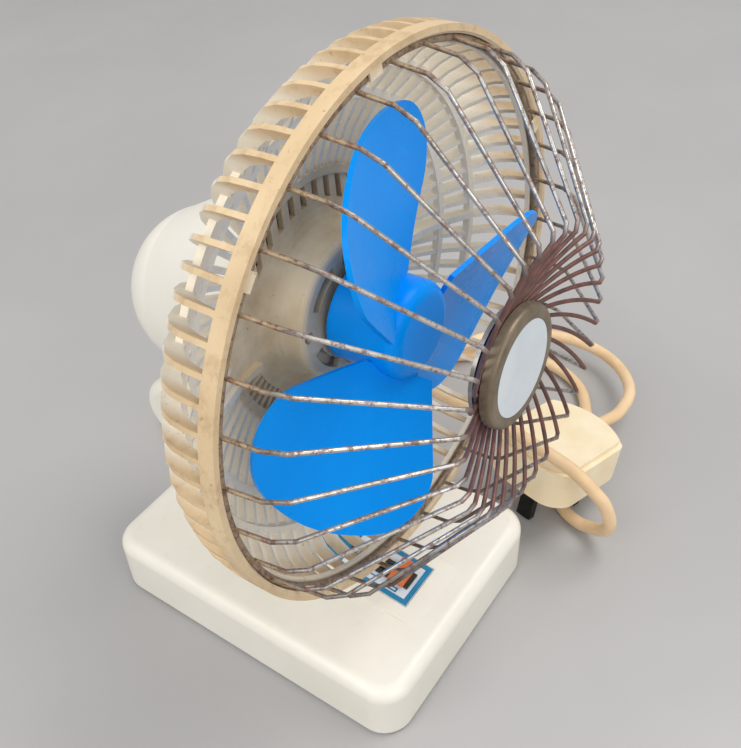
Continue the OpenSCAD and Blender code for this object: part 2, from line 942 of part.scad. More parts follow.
// straight bar across the ribs on one side, following their inner edges
module ledge_bar() {
    line = concat([[cove_end - 1, plate_z]], [for (i = [0:3]) rib_inside[i]]);
    top = [for (p = line) p + [0, bar_h]];
    low = [for (i = [len(line) - 1:-1:0]) line[i] - [0, sheet / 2]];
    translate([0, bar_y + bar_w / 2, 0])
        rotate([90, 0, 0])
            linear_extrude(bar_w)
                polygon(concat(top, low));
}

// open parts of the centre plate below the bars, where ribs show
module windows(grow) {
    intersection() {
        ring(plate_r - lip_w + grow, cove_end + 0.5 - grow, plate_z - 10, plate_z + 10);
        for (sx = [-1, 1])
            translate([sx * (window_x - grow + rim_r / 2), bar_y - bar_w / 2 - rim_r / 2, plate_z])
                cube([rim_r, rim_r, 30], center = true);
    }
}

module rear_guard() {
    o = rim_r;
    color(aged)
    placed()
        in_head() {
            difference() {
                union() {
                    for (i = [0:rib_count - 1])
                        rotate([0, 0, rib_turn + i * 360 / rib_count])
                            rotate([90, 0, 0])
                                linear_extrude(rib_t, center = true)
                                    polygon(concat(rib_inside, rib_outside));
                    rotate_extrude()
                        polygon([[o, 0], [o, -rim_band], [o - ledge_in, -rim_band],
                                 [o - ledge_in, ledge_t - rim_band], [o - rim_t, ledge_t - rim_band],
                                 [o - rim_t, -0.8], [o - rim_t + 0.8, 0]]);
                    tie_ring(ring_a_r);
                    tie_ring(ring_b_r);
                    centre_plate();
                    ledge_bar();
                    mirror([1, 0, 0])
                        ledge_bar();
                    for (k = clip_slots)
                        rotate([0, 0, wire_turn(k + 0.5)])
                            translate([o - rim_t - clip_in, -clip_l / 2, -clip_t])
                                cube([clip_in + rim_t / 2, clip_l, clip_t]);
                }
                intersection() {
                    union() {
                        for (k = [0:vent_count - 1])
                            translate([(k - (vent_count - 1) / 2) * vent_pitch - vent_w / 2,
                                       vent_low, plate_z - 10])
                                cube([vent_w, plate_r, 20]);
                    }
                    ring(plate_r - lip_w - 0.6, cove_end + 0.5, plate_z - 10, plate_z + 10);
                }
                for (a = [175, 355])
                    rotate([0, 0, a])
                        translate([hole_ring_r, 0, boss_front - 10])
                            cylinder(h = 20, d = 4.4);
                for (a = bolt_turns)
                    rotate([0, 0, a])
                        translate([bolt_ring_r, 0, boss_front - 10])
                            cylinder(h = 20, d = clear_d);
                for (a = [108, 198, 288, 18])
                    rotate([0, 0, a])
                        translate([0, 0, boss_front - 10])
                            rotate_extrude(angle = 44)
                                translate([arc_slot_r, 0])
                                    square([arc_slot_w, 20]);
                for (a = cover_screw_turns)
                    rotate([0, 0, a])
                        translate([cover_screw_r, 0, plate_z - 10])
                            cylinder(h = 20, d = clear_d);
                for (sx = [-1, 1])
                    translate([sx * bracket_x, bracket_y, plate_z - 10])
                        cylinder(h = 20, d = clear_d);
                windows(0);
            }
            intersection() {
                windows(0.5);
                union() {
                    for (i = [0:rib_count - 1])
                        rotate([0, 0, rib_turn + i * 360 / rib_count])
                            translate([dome_r, -rib_t / 2, plate_z - plate_skirt + gap])
                                cube([plate_r - dome_r, rib_t, plate_skirt - 2 * gap]);
                }
            }
        }
}

// egg-shaped body of the motor cover, drooping to the rear
module cover_solid(less) {
    end = cover_len + cover_r * sin(taper);
    r_end = cover_r * cos(taper) - 0.3;
    r_front = r_end + end * tan(taper);
    translate([0, 0, cover_front + cover_rise + gap])
        rotate([-droop, 0, 0]) {
            translate([0, 0, -end])
                cylinder(h = end + 20, r1 = r_end - less, r2 = r_front + 20 * tan(taper) - less);
            translate([0, 0, -cover_len])
                sphere(r = cover_r - less);
        }
}

module motor_cover() {
    color(ivory)
    placed()
        in_head()
            difference() {
                union() {
                    intersection() {
                        difference() {
                            cover_solid(0);
                            cover_solid(cover_wall);
                        }
                        translate([-rim_r, -rim_r, cover_front - 2 * rim_r])
                            cube(2 * rim_r);
                    }
                    for (a = cover_screw_turns)
                        rotate([0, 0, a])
                            translate([cover_screw_r, 0, cover_front - 10])
                                cylinder(h = plate_z - sheet - seat - cover_front + 10, r = cover_boss_r);
                    intersection() {
                        cover_solid(cover_wall / 2);
                        for (a = cover_screw_turns)
                            rotate([0, 0, a])
                                translate([cover_screw_r, -cover_boss_r / 2, cover_front - 10])
                                    cube([4 * cover_boss_r, cover_boss_r, 10]);
                    }
                }
                for (a = cover_screw_turns)
                    rotate([0, 0, a])
                        translate([cover_screw_r, 0, cover_front - 9])
                            cylinder(h = 30, d = 2.9);
                middle_plate(tongue_w + 2 * gap)
                    polygon([[arm_front + 4, arm_y + 2], [arm_back - 4, arm_y + 2],
                             [pivot_local_z - 30, pivot_local_y - 5], [arm_front - 12, pivot_local_y - 5]]);
            }
}

module cover_screws() {
    color(steel)
    placed()
        in_head()
            for (a = cover_screw_turns)
                rotate([0, 0, a])
                    translate([cover_screw_r, 0, plate_z + seat])
                        screw(2.6, 1.6, 2.8, 10);
}

// cup-shaped bearing bracket: a thin disc with a bearing seat in its middle
module bearing_bracket(z) {
    difference() {
        union() {
            translate([0, 0, z])
                cylinder(h = bracket_t, r = bracket_r);
            translate([0, 0, z - cup_h])
                cylinder(h = bracket_t + 2 * cup_h, r = cup_r);
        }
        translate([0, 0, z - 20])
            cylinder(h = 40, r = bearing_r + seat / 2);
        for (a = bolt_turns)
            rotate([0, 0, a])
                translate([bolt_ring_r, 0, z - 10])
                    cylinder(h = 20, d = clear_d);
    }
}

module front_bracket() {
    color(steel)
    placed()
        in_head()
            bearing_bracket(front_bracket_z);
}

module rear_bracket() {
    color(steel)
    placed()
        in_head()
            bearing_bracket(rear_bracket_z);
}

module stator_core() {
    color([0.45, 0.44, 0.44])
    placed()
        in_head()
            difference() {
                translate([0, 0, stator_back])
                    cylinder(h = stator_front - stator_back, r = stator_r);
                translate([0, 0, 2 * stator_back])
                    cylinder(h = -2 * stator_back, r = rotor_r + air_gap);
                for (a = bolt_turns)
                    rotate([0, 0, a])
                        translate([bolt_ring_r, 0, 2 * stator_back])
                            cylinder(h = -2 * stator_back, d = clear_d);
                for (a = coil_turns)
                    rotate([0, 0, a])
                        translate([coil_r, 0, 2 * stator_back])
                            cylinder(h = -2 * stator_back, r = coil_w / 2 + 0.3);
            }
}

module stator_coils() {
    color(copper)
    placed()
        in_head()
            for (a = coil_turns)
                rotate([0, 0, a]) {
                    translate([coil_r, 0, stator_back - coil_h])
                        cylinder(h = stator_front - stator_back + 2 * coil_h, r = coil_w / 2 + 0.3 - seat);
                    for (z = [stator_back - coil_h, stator_front + seat])
                        translate([0, 0, z])
                            rotate([0, 0, -22])
                                rotate_extrude(angle = 44)
                                    translate([coil_r - coil_w / 2, 0])
                                        square([coil_w, coil_h - seat]);
                }
}

module motor_bearings() {
    color(brass)
    placed()
        in_head()
            for (z = [front_bracket_z, rear_bracket_z])
                translate([0, 0, z + bracket_t / 2 - bearing_h / 2])
                    difference() {
                        cylinder(h = bearing_h, r = bearing_r - seat / 2);
                        translate([0, 0, -1])
                            cylinder(h = bearing_h + 2, r = shaft_d / 2 + shaft_fit);
                    }
}

module motor_bolts() {
    color(steel)
    placed()
        in_head()
            for (a = bolt_turns)
                rotate([0, 0, a])
                    translate([bolt_ring_r, 0, boss_front + seat])
                        screw(3.2, 2, shank_d, boss_front - rear_bracket_z + 2);
}

// point at a radius, a distance ahead of the rim and an angle
function spot(r, z, a) = [r * cos(a), r * sin(a), z];

// point on the way from p to q, at the distance l from p
function toward(p, q, l) = p + (q - p) * l / norm(q - p);

// straight pieces joined through the points, with a ball in each bend
module bent_bar(points, d) {
    for (i = [0:len(points) - 2])
        rod(points[i], points[i + 1], d);
    for (i = [1:len(points) - 1])
        translate(points[i])
            sphere(d = d * bend_swell);
}

// one wire: out of the hoop, forward to the sharp bend, then in a flat arc to the eye
module one_wire() {
    a = spot(hoop_r, hoop_z, 0);
    b = spot(bend1_r, bend1_z, 0);
    c = spot(bend_r, bend_z, wire_lean);
    e = spot(eye_r, eye_z, wire_lean + wire_swirl);
    start = toward(c, e, bend2_l);
    bent_bar([a, toward(b, a, bend1_l), toward(b, c, bend1_l), toward(c, b, bend2_l), start], wire_d);
    v = e - start;
    l = norm(v);
    sag = l * wire_bow;
    r = (l * l / 4 + sag * sag) / (2 * sag);
    half = asin(l / 2 / r);
    translate(start)
        rotate([0, -asin(v[2] / l), atan2(v[1], v[0])])
            translate([l / 2, r - sag, 0])
                rotate([0, 0, -90 - half])
                    rotate_extrude(angle = 2 * half)
                        translate([r, 0])
                            circle(d = wire_d, $fn = 24);
}

module front_guard() {
    color(steel)
    placed()
        in_head() {
            for (i = [0:wire_count - 1])
                rotate([0, 0, wire_turn(i)])
                    one_wire();
            translate([0, 0, hoop_z])
                rotate_extrude()
                    translate([hoop_r, 0])
                        circle(d = hoop_d, $fn = 24);
            translate([0, 0, eye_z])
                rotate_extrude()
                    translate([eye_r, 0])
                        circle(d = wire_d + 0.8, $fn = 24);
        }
}

module badge_cap() {
    tall = badge_front - badge_rear;
    color([0.55, 0.48, 0.40])
    placed()
        in_head()
            difference() {
                union() {
                    translate([0, 0, badge_rear])
                        rotate_extrude()
                            edge_section(badge_r, tall, badge_edge);
                    translate([0, 0, back_front + gap])
                        cylinder(h = badge_rear - back_front, r = badge_post_r);
                }
                translate([0, 0, badge_front - disc_t - 2 * seat])
                    cylinder(h = tall, r = disc_r + gap / 2);
                translate([0, 0, badge_rear - 1])
                    ring(badge_r - 2.2, badge_post_r, 0, tall / 2);
                translate([0, 0, back_front - 1])
                    cylinder(h = badge_front - disc_t - back_front, d = 2.9);
            }
}

module badge_disc() {
    color([0.78, 0.84, 0.90])
    placed()
        in_head()
            translate([0, 0, badge_front - disc_t - seat])
                cylinder(h = disc_t, r = disc_r);
}

module badge_back() {
    color(steel)
    placed()
        in_head()
            ring(eye_r + wire_d / 2, 1.7, back_front - back_t, back_front);
}

module badge_screw() {
    color(steel)
    placed()
        in_head()
            translate([0, 0, back_front - back_t - seat])
                mirror([0, 0, 1])
                    screw(3, 1.8, 2.8, 6);
}

// points along an arc about c
function arc(c, r, a0, a1, n) =
    [for (i = [0:n]) c + r * [cos(a0 + (a1 - a0) * i / n), sin(a0 + (a1 - a0) * i / n)]];

// outline of one blade: x outward from the shaft, y along the chord
module blade_outline() {
    nose = 0.275 * sweep_r;
    tip = sweep_r - nose;
    fore = 13;
    aft = -32;
    polygon(concat([[6, 14]],
                   arc(tip * [cos(fore), sin(fore)], nose, fore + 98, fore, 12),
                   arc([0, 0], sweep_r, fore - 4, aft + 4, 9),
                   arc(tip * [cos(aft), sin(aft)], nose, aft, aft - 114, 13),
                   [[12, -8]]));
}

// one cambered blade: a curved sheet trimmed by the outline
module one_blade() {
    translate([0, 0, blade_z])
        rotate([blade_pitch, 0, 0])
            intersection() {
                translate([hub_r - 3, -200, -30])
                    cube([200, 400, 60]);
                translate([0, 0, -30])
                    linear_extrude(60)
                        blade_outline();
                translate([0, -8, camber_r])
                    rotate([0, 90, 0])
                        difference() {
                            cylinder(h = 200, r = camber_r + blade_t / 2, $fn = 96);
                            translate([0, 0, -1])
                                cylinder(h = 202, r = camber_r - blade_t / 2, $fn = 96);
                        }
            }
}

module blade_wheel() {
    color(azure)
    placed()
        in_head()
            rotate([0, 0, wheel_turn])
                difference() {
                    union() {
                        for (k = [0:2])
                            rotate([0, 0, 120 * k])
                                one_blade();
                        translate([0, 0, hub_back])
                            rotate_extrude()
                                edge_section(hub_r, hub_front - hub_back, hub_edge);
                    }
                    translate([0, 0, hub_back - 1])
                        ring(hub_r - hub_wall, hub_core, 0, hub_front - hub_back - 3);
                    translate([0, 0, hub_back - 1])
                        cylinder(h = hub_front - hub_back - 2, r = shaft_d / 2 + 0.02);
                }
}

module motor_shaft() {
    color(steel)
    placed()
        in_head()
            translate([0, 0, shaft_back])
                cylinder(h = hub_front - hub_wall - 1 - shaft_back, d = shaft_d);
}

module rotor_core() {
    color([0.55, 0.55, 0.56])
    placed()
        in_head()
            ring(rotor_r, shaft_d / 2 + 0.02, stator_back, stator_front);
}

base_shell();
base_plate();
base_feet();
base_screws();
neck_post();
neck_screws();
control_plate();
switch_bezel();
switch_body();
switch_knob();
terminal_block();
cord_grip();
mains_cord();
plug_body();
plug_cover();
plug_pins();
plug_screw();
tilt_bolt();
tilt_nut();
tilt_washers();
tilt_bracket();
bracket_screws();
rear_guard();
motor_cover();
cover_screws();
front_bracket();
rear_bracket();
stator_core();
stator_coils();
motor_bearings();
motor_bolts();
front_guard();
badge_cap();
badge_disc();
badge_back();
badge_screw();
blade_wheel();
motor_shaft();
rotor_core();
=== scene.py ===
"""Desk fan: looks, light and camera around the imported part. Lengths are in metres."""
import json
import math

import bpy
import numpy as np
from mathutils import Matrix, Vector


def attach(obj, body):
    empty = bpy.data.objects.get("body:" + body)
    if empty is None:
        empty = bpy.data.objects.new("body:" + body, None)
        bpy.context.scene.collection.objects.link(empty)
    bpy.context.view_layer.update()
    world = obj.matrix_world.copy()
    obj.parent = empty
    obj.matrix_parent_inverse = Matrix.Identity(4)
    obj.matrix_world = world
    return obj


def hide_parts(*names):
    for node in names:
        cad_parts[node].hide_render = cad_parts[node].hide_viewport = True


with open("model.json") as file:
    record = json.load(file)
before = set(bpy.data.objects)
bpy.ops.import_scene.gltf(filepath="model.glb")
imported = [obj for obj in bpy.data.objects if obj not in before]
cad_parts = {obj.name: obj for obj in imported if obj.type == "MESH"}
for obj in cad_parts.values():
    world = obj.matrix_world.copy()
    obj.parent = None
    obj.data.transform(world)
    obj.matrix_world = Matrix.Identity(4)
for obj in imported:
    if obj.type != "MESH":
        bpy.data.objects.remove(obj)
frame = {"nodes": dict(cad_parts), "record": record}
nodes = frame["nodes"]
scene = bpy.context.scene
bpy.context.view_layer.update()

joints = {j["name"]: j for j in frame["record"]["behaviour"]["joints"]}
RIM = tuple(joints["wheel_spin"]["pos_m"])      # middle of the rim's front plane
RIM_AHEAD = 0.050                               # how far that lies ahead of the base's middle
SHIFT = RIM[1] + RIM_AHEAD                      # the base's middle lies this far behind the fan's
HEAD_LEAN = math.radians(3.0)                   # how far the head looks up

CAM_TURN, CAM_RISE, CAM_ROLL = -54.2, 42.22, -2.37      # degrees
CAM_PLACE = (-0.2197, -0.1903, 0.3851)                  # from the middle of the base
CAM_LENS, CAM_SENSOR = 47.41, 36                        # millimetres
CAM_CLIP = 0.01, 20


def camera():
    """The camera, at the photograph's angle."""
    turn, rise, roll = (math.radians(a) for a in (CAM_TURN, CAM_RISE, CAM_ROLL))
    back = Vector((math.sin(turn) * math.cos(rise), -math.cos(turn) * math.cos(rise), math.sin(rise)))
    level = Vector((math.cos(turn), math.sin(turn), 0))
    upright = back.cross(level)
    right = math.cos(roll) * level + math.sin(roll) * upright
    up = math.cos(roll) * upright - math.sin(roll) * level
    data = bpy.data.cameras.new("camera")
    data.sensor_width, data.lens = CAM_SENSOR, CAM_LENS
    data.clip_start, data.clip_end = CAM_CLIP
    cam = bpy.data.objects.new("camera", data)
    scene.collection.objects.link(cam)
    place = Matrix((right, up, back)).transposed().to_4x4()
    place.translation = Vector(CAM_PLACE) + Vector((0, SHIFT, 0))
    cam.matrix_world = place
    scene.camera = cam


def mesh_object(name, verts, faces):
    mesh = bpy.data.meshes.new(name)
    mesh.from_pydata([tuple(v) for v in verts], [], faces)
    mesh.update()
    obj = bpy.data.objects.new(name, mesh)
    scene.collection.objects.link(obj)
    return obj


# the plug, as in the solid model, from the middle of the base
PLUG_L, PLUG_H = 0.056, 0.022
PLUG_SPLIT = 0.55                               # share of its height that its body takes
PLUG_X, PLUG_Y = 0.094, -0.0693
PLUG_TURN = math.radians(-12)
PIN_SHORT, PIN_LONG, PIN_PITCH = 0.0177, 0.0227, 0.0222
PIN_LIFT = PIN_SHORT + 0.0023
PLUG_LEAN = math.atan((PIN_LONG - PIN_SHORT) / PIN_PITCH)       # it stands on pins of two lengths


def plug_spot(x, y, z):
    """A point of the plug, from the middle of the base."""
    u = x * math.cos(PLUG_LEAN) + (z + PIN_LIFT) * math.sin(PLUG_LEAN)
    w = -x * math.sin(PLUG_LEAN) + (z + PIN_LIFT) * math.cos(PLUG_LEAN)
    return (PLUG_X + u * math.cos(PLUG_TURN) - y * math.sin(PLUG_TURN),
            PLUG_Y + u * math.sin(PLUG_TURN) + y * math.cos(PLUG_TURN), w)


def into_plug(ahead):
    """A point of the lead this far before it enters the plug."""
    return plug_spot(PLUG_L / 2 + ahead, 0, PLUG_H * PLUG_SPLIT)


# the lead: the solid model's route, with its turn by the plug eased by up to 3 mm
CORD_D = 0.0062
LEAD_SIDES, LEAD_STEPS = 20, 10                 # sides round the lead, and steps between two points
LIE = CORD_D / 2 + 0.0003                       # height of its middle where it lies on the table
EXIT_X, EXIT_Z, OUT_Y = 0.028, 0.013, 0.078     # where it leaves the base, whose rear wall is at OUT_Y
ROUTE = [(EXIT_X, OUT_Y - 0.0256, EXIT_Z), (EXIT_X, OUT_Y - 0.012, EXIT_Z),
         (EXIT_X, OUT_Y + 0.006, EXIT_Z), (EXIT_X, OUT_Y + 0.022, EXIT_Z),
         # down to the table and round behind the base
         (0.029, 0.114, 0.012), (0.036, 0.130, 0.0085), (0.052, 0.144, 0.0048), (0.076, 0.151, LIE),
         (0.103, 0.147, LIE), (0.126, 0.130, LIE), (0.136, 0.105, LIE), (0.137, 0.078, LIE),
         (0.143, 0.052, LIE), (0.157, 0.028, LIE), (0.174, 0.005, LIE), (0.183, -0.018, LIE),
         # back under the plug
         (0.182, -0.036, LIE), (0.174, -0.051, LIE), (0.160, -0.061, LIE), (0.1436, -0.0689, LIE),
         (0.1263, -0.0726, LIE), (0.1119, -0.070, LIE), (0.0996, -0.0729, LIE), (0.0904, -0.0812, LIE),
         # up before the plug and over it
         (0.0862, -0.0903, 0.0039), (0.0845, -0.0972, 0.0059), (0.0817, -0.104, 0.011),
         (0.0783, -0.1084, 0.0185), (0.0755, -0.1092, 0.0279), (0.0739, -0.1059, 0.0385),
         (0.0728, -0.1006, 0.0449), (0.073, -0.093, 0.0502), (0.0745, -0.0835, 0.0524),
         (0.0785, -0.063, 0.0526), (0.0845, -0.040, 0.0506), (0.0925, -0.018, 0.0425),
         # down behind it and round into its end
         (0.103, 0.001, 0.032), (0.118, 0.014, 0.0225), (0.138, 0.019, 0.017), (0.159, 0.017, 0.015),
         (0.178, 0.008, 0.0135), (0.192, -0.007, 0.0125), (0.200, -0.027, 0.012), (0.200, -0.049, 0.012),
         (0.190, -0.067, 0.0135), (0.173, -0.079, 0.016), into_plug(0.025), into_plug(0.011), into_plug(-0.002)]


def smooth_line(points, per_span):
    """A smooth curve through the points."""
    p = np.array(points, float)
    n = len(p)
    out = []
    for i in range(n - 1):
        a, b, c, d = p[max(i - 1, 0)], p[i], p[i + 1], p[min(i + 2, n - 1)]
        for k in range(per_span):
            f = k / per_span
            out.append(0.5 * (2 * b + (c - a) * f + (2 * a - 5 * b + 4 * c - d) * f ** 2
                              + (3 * b - a - 3 * c + d) * f ** 3))
    out.append(p[-1])
    return np.array(out)


def tube(name, line, radius, sides):
    """A round tube with closed ends along a line."""
    ahead = np.gradient(line, axis=0)
    ahead /= np.linalg.norm(ahead, axis=1)[:, None]
    side = np.array([0.0, 0.0, 1.0])
    verts = []
    for point, t in zip(line, ahead):
        side = side - t * (side @ t)
        side /= np.linalg.norm(side)
        other = np.cross(t, side)
        for k in range(sides):
            a = 2 * math.pi * k / sides
            verts.append(point + radius * (math.cos(a) * side + math.sin(a) * other))
    faces = []
    for i in range(0, (len(line) - 1) * sides, sides):
        for k in range(sides):
            j = (k + 1) % sides
            faces.append((i + k, i + j, i + sides + j, i + sides + k))
    faces.append(tuple(range(sides))[::-1])
    faces.append(tuple(range(len(verts) - sides, len(verts))))
    obj = mesh_object(name, verts, faces)
    for f in obj.data.polygons:
        f.use_smooth = True
    return obj


camera()
line = smooth_line(ROUTE, LEAD_STEPS) + np.array([0, SHIFT, 0])
lead = tube("lead", line, CORD_D / 2, LEAD_SIDES)
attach(lead, "base")
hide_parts("mains_cord")


# materials
NOISE_LOW, NOISE_HIGH = 0.3, 0.7                # most of a noise lies between these


def srgb(r, g, b):
    def lin(c):
        c /= 255
        return c / 12.92 if c <= 0.04045 else ((c + 0.055) / 1.055) ** 2.4
    return (lin(r), lin(g), lin(b))


class Nodes:
    """Small helper to wire shader nodes."""

    def __init__(self, name):
        self.mat = bpy.data.materials.new(name)
        self.mat.use_nodes = True
        self.tree = self.mat.node_tree
        self.bsdf = self.tree.nodes["Principled BSDF"]
        self.coord = self.tree.nodes.new("ShaderNodeTexCoord").outputs["Object"]

    def put(self, socket, value):
        if isinstance(value, bpy.types.NodeSocket):
            self.tree.links.new(value, socket)
        else:
            socket.default_value = value

    def new(self, kind, inputs, **settings):
        """A node with its settings, and its inputs by name or number."""
        n = self.tree.nodes.new(kind)
        for key, value in settings.items():
            setattr(n, key, value)
        for key, value in inputs.items():
            self.put(n.inputs[key], value)
        return n

    def noise(self, scale, detail=3.0, rough=0.55):
        return self.new("ShaderNodeTexNoise", {"Vector": self.coord, "Scale": scale, "Detail": detail,
                                               "Roughness": rough}).outputs["Fac"]

    def tones(self, fac, dark, light, low=NOISE_LOW, high=NOISE_HIGH):
        """Two tones, given as linear colours, blended by a noise."""
        n = self.new("ShaderNodeValToRGB", {"Fac": fac})
        for stop, place, color in zip(n.color_ramp.elements, (low, high), (dark, light)):
            stop.position = place
            stop.color = (*color, 1)
        return n.outputs["Color"]

    def remap(self, value, start, end, low=0.0, high=1.0):
        """A value between start and end, moved to lie between low and high."""
        return self.new("ShaderNodeMapRange", {"Value": value, "From Min": start, "From Max": end,
                                               "To Min": low, "To Max": high}).outputs["Result"]

    def rough(self, scale, low, high):
        """Uneven roughness."""
        return self.remap(self.noise(scale), NOISE_LOW, NOISE_HIGH, low, high)

    def mix(self, fac, a, b):
        n = self.new("ShaderNodeMix", {0: fac}, data_type="RGBA")
        for socket, v in ((n.inputs[6], a), (n.inputs[7], b)):
            self.put(socket, v if isinstance(v, bpy.types.NodeSocket) else (*v, 1))
        return n.outputs[2]

    def math(self, operation, a, b=0.0):
        return self.new("ShaderNodeMath", {0: a, 1: b}, operation=operation).outputs[0]

    def bump(self, height, strength, distance):
        n = self.new("ShaderNodeBump", {"Strength": strength, "Distance": distance, "Height": height})
        self.put(self.bsdf.inputs["Normal"], n.outputs["Normal"])

    def set(self, **values):
        for key, v in values.items():
            self.put(self.bsdf.inputs[key.replace("_", " ")], v)

    def head_place(self):
        """Distance from the head's axis, and distance ahead of the rim, of the shaded point."""
        axis = (0, -math.cos(HEAD_LEAN), math.sin(HEAD_LEAN))
        spot = self.new("ShaderNodeVectorMath", {0: self.coord, 1: RIM}, operation="SUBTRACT").outputs["Vector"]
        ahead = self.new("ShaderNodeVectorMath", {0: spot, 1: axis}, operation="DOT_PRODUCT").outputs["Value"]
        far = self.new("ShaderNodeVectorMath", {0: spot}, operation="LENGTH").outputs["Value"]
        square = self.math("SUBTRACT", self.math("MULTIPLY", far, far), self.math("MULTIPLY", ahead, ahead))
        return self.math("SQRT", self.math("MAXIMUM", square, 0.0)), ahead


PLAIN_LOW, PLAIN_HIGH = 0.35, 0.68              # where a plain material's noise turns from tone to tone
ROUGH_FINER, ROUGH_SPREAD = 2.3, 0.1            # its roughness map: how much finer, and its range
BUMP_FINER, BUMP_DEPTH = 14, 0.0004


def plain(name, dark, light, rough, scale=60, metal=0.0, bump=0.0):
    """Two close tones mixed by noise, with a finer roughness map."""
    m = Nodes(name)
    m.set(Base_Color=m.tones(m.noise(scale), srgb(*dark), srgb(*light), PLAIN_LOW, PLAIN_HIGH), Metallic=metal,
          Roughness=m.rough(scale * ROUGH_FINER, rough - ROUGH_SPREAD / 2, rough + ROUGH_SPREAD / 2))
    if bump:
        m.bump(m.noise(scale * BUMP_FINER, 2), bump, BUMP_DEPTH)
    return m.mat


def ivory_plastic():
    m = Nodes("ivory")
    tone = m.tones(m.noise(22, 4), srgb(229, 225, 213), srgb(238, 234, 225))
    dirt = m.remap(m.noise(140, 4, 0.7), 0.62, 0.80, 0.0, 0.30)
    m.set(Base_Color=m.mix(dirt, tone, srgb(206, 190, 156)), Roughness=m.rough(50, 0.32, 0.44),
          Coat_Weight=0.15, Coat_Roughness=0.2)
    m.bump(m.noise(900, 2), 0.04, 0.0003)
    return m.mat


# distances from the head's axis between which the basket's tone changes, from the first to the second
PAINTED_LIGHT_BOWL_R = 0.0985, 0.0925                         # tan on the rim; in the bowl a light cream, brightened close to white as painted light inside the bowl
PLATE_R = 0.0500, 0.0475                        # dusty on the centre plate
BOSS_R = 0.0300, 0.0272                         # paler again on its raised middle
MOTTLE_R = 0.0935, 0.0980                       # mottled on the rim


def aged_plastic():
    m = Nodes("aged")
    rad, _ = m.head_place()
    tan = m.tones(m.noise(28, 4), srgb(202, 175, 136), srgb(222, 198, 161))
    # in the bowl: real light cream, brightened close to white as painted light where the bowl lies in shade
    cream_and_painted_light = m.tones(m.noise(34, 4), srgb(240, 232, 214), srgb(250, 244, 231))
    dusty = m.tones(m.noise(60, 5, 0.65), srgb(196, 171, 132), srgb(230, 209, 174))
    boss = m.tones(m.noise(40, 3), srgb(204, 182, 146), srgb(232, 217, 190))
    base = m.mix(m.remap(rad, *PAINTED_LIGHT_BOWL_R, 0.0, 0.9), tan, cream_and_painted_light)
    base = m.mix(m.remap(rad, *PLATE_R), base, dusty)
    base = m.mix(m.remap(rad, *BOSS_R), base, boss)
    mottle = m.remap(m.noise(150, 4, 0.7), 0.50, 0.66, 0.0, 0.38)
    base = m.mix(m.math("MULTIPLY", mottle, m.remap(rad, *MOTTLE_R)), base, srgb(168, 136, 98))
    specks = m.remap(m.noise(420, 3, 0.7), 0.64, 0.74, 0.0, 0.55)
    m.set(Base_Color=m.mix(specks, base, srgb(128, 98, 66)), Roughness=m.rough(70, 0.45, 0.62))
    m.bump(m.noise(700, 2), 0.08, 0.0004)
    return m.mat


# where the wires' tone changes, from the first value to the second
GRIME_DROP = 0.040, 0.075                       # depth under the rim's middle: grimy low down
ROOT_R = 0.0885, 0.0945                         # distance from the axis: grimy near the hoop
HOOP_R = 0.0938, 0.0950                         # dusty on the hoop
SWIRL_R = 0.052, 0.046                          # rusty round the badge,
SWIRL_AHEAD = 0.030, 0.036                      # this far ahead of the rim


def guard_wire():
    m = Nodes("guard_wire")
    rad, ahead = m.head_place()
    bright = m.tones(m.noise(90, 2), srgb(168, 163, 156), srgb(214, 210, 204))
    rust = m.tones(m.noise(260, 4), srgb(70, 38, 34), srgb(124, 72, 60))
    grime = m.tones(m.noise(300, 4), srgb(62, 52, 46), srgb(112, 98, 88))
    height = m.new("ShaderNodeSeparateXYZ", {"Vector": m.coord}).outputs["Z"]
    low = m.remap(height, RIM[2] - GRIME_DROP[0], RIM[2] - GRIME_DROP[1], 0.0, 0.92)
    grimy = m.math("MAXIMUM", low, m.remap(rad, *ROOT_R, 0.0, 0.9))
    worn = m.mix(grimy, bright, grime)
    worn = m.mix(m.remap(rad, *HOOP_R, 0.0, 0.6), worn, srgb(186, 162, 128))
    swirl = m.math("MULTIPLY", m.remap(rad, *SWIRL_R, 0.0, 0.92), m.remap(ahead, *SWIRL_AHEAD))
    flecks = m.remap(m.noise(420, 5, 0.8), 0.49, 0.58)
    rusty = m.math("MAXIMUM", swirl, m.math("MULTIPLY", flecks, 0.75))
    dull = m.math("MAXIMUM", rusty, grimy)
    m.set(Base_Color=m.mix(rusty, worn, rust), Metallic=m.remap(dull, 0.0, 1.0, 0.9, 0.3),
          Roughness=m.remap(dull, 0.0, 1.0, 0.28, 0.50))
    m.bump(m.noise(1100, 3), 0.08, 0.0003)
    return m.mat


def blade_blue():
    m = Nodes("blue")
    tone = m.tones(m.noise(16, 3), srgb(0, 146, 248), srgb(0, 154, 255))
    dust = m.remap(m.noise(160, 4, 0.7), 0.60, 0.80, 0.0, 0.08)
    m.set(Base_Color=m.mix(dust, tone, srgb(120, 170, 214)), Specular_IOR_Level=0.10,
          Roughness=m.rough(44, 0.24, 0.34))
    return m.mat


